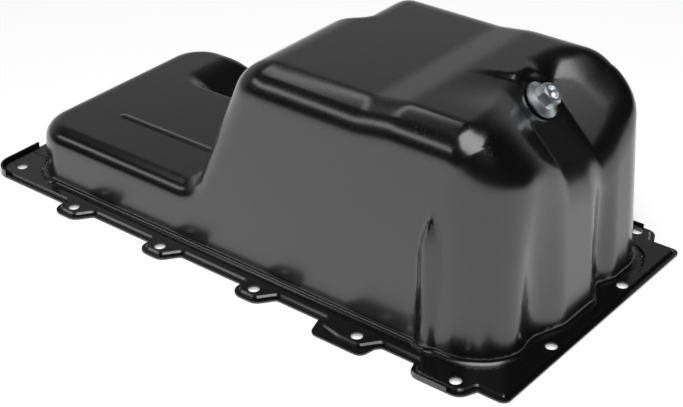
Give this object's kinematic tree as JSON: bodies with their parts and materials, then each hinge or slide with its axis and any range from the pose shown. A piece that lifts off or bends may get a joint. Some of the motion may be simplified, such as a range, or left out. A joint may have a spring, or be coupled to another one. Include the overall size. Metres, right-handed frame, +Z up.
{
  "type": "engine oil pan",
  "caption": "Deep-drawn steel engine oil pan with a shallow tray, a deep sump, a tabbed bolting flange and a screw-in drain plug.",
  "frame": {"origin": "under the middle of the pan, at the underside of the flange rim", "axes": "+X along the pan from the shallow tray to the deep sump, +Y across to the scooped side, +Z up from the flange to the sump's crown"},
  "size_m": [0.534, 0.28, 0.175],
  "materials": {
    "pan_paint": "gloss black",
    "nut_steel": "plain",
    "seal_rubber": "matt black",
    "plug_zinc": "bright zinc"
  },
  "bodies": {
    "pan": {"pan_shell": "pan_paint", "drain_nut": "nut_steel"},
    "seal": {"plug_seal": "seal_rubber"},
    "plug": {"drain_plug": "plug_zinc"}
  },
  "joints": [
    {"name": "plug_travel", "type": "slide", "parent": "pan", "child": "seal", "axis": [0.6992, 0.141, 0.7009], "range_m": [0, 0.015]},
    {"name": "plug_turn", "type": "hinge", "parent": "seal", "child": "plug", "pos_m": [0.1978, 0.0134, 0.156], "axis": [0.6992, 0.141, 0.7009], "range_deg": [0, 3600]}
  ],
  "couplings": [
    {"joint": "plug_travel", "follows": "plug_turn", "m_per_rad": 0.00023873}
  ]
}
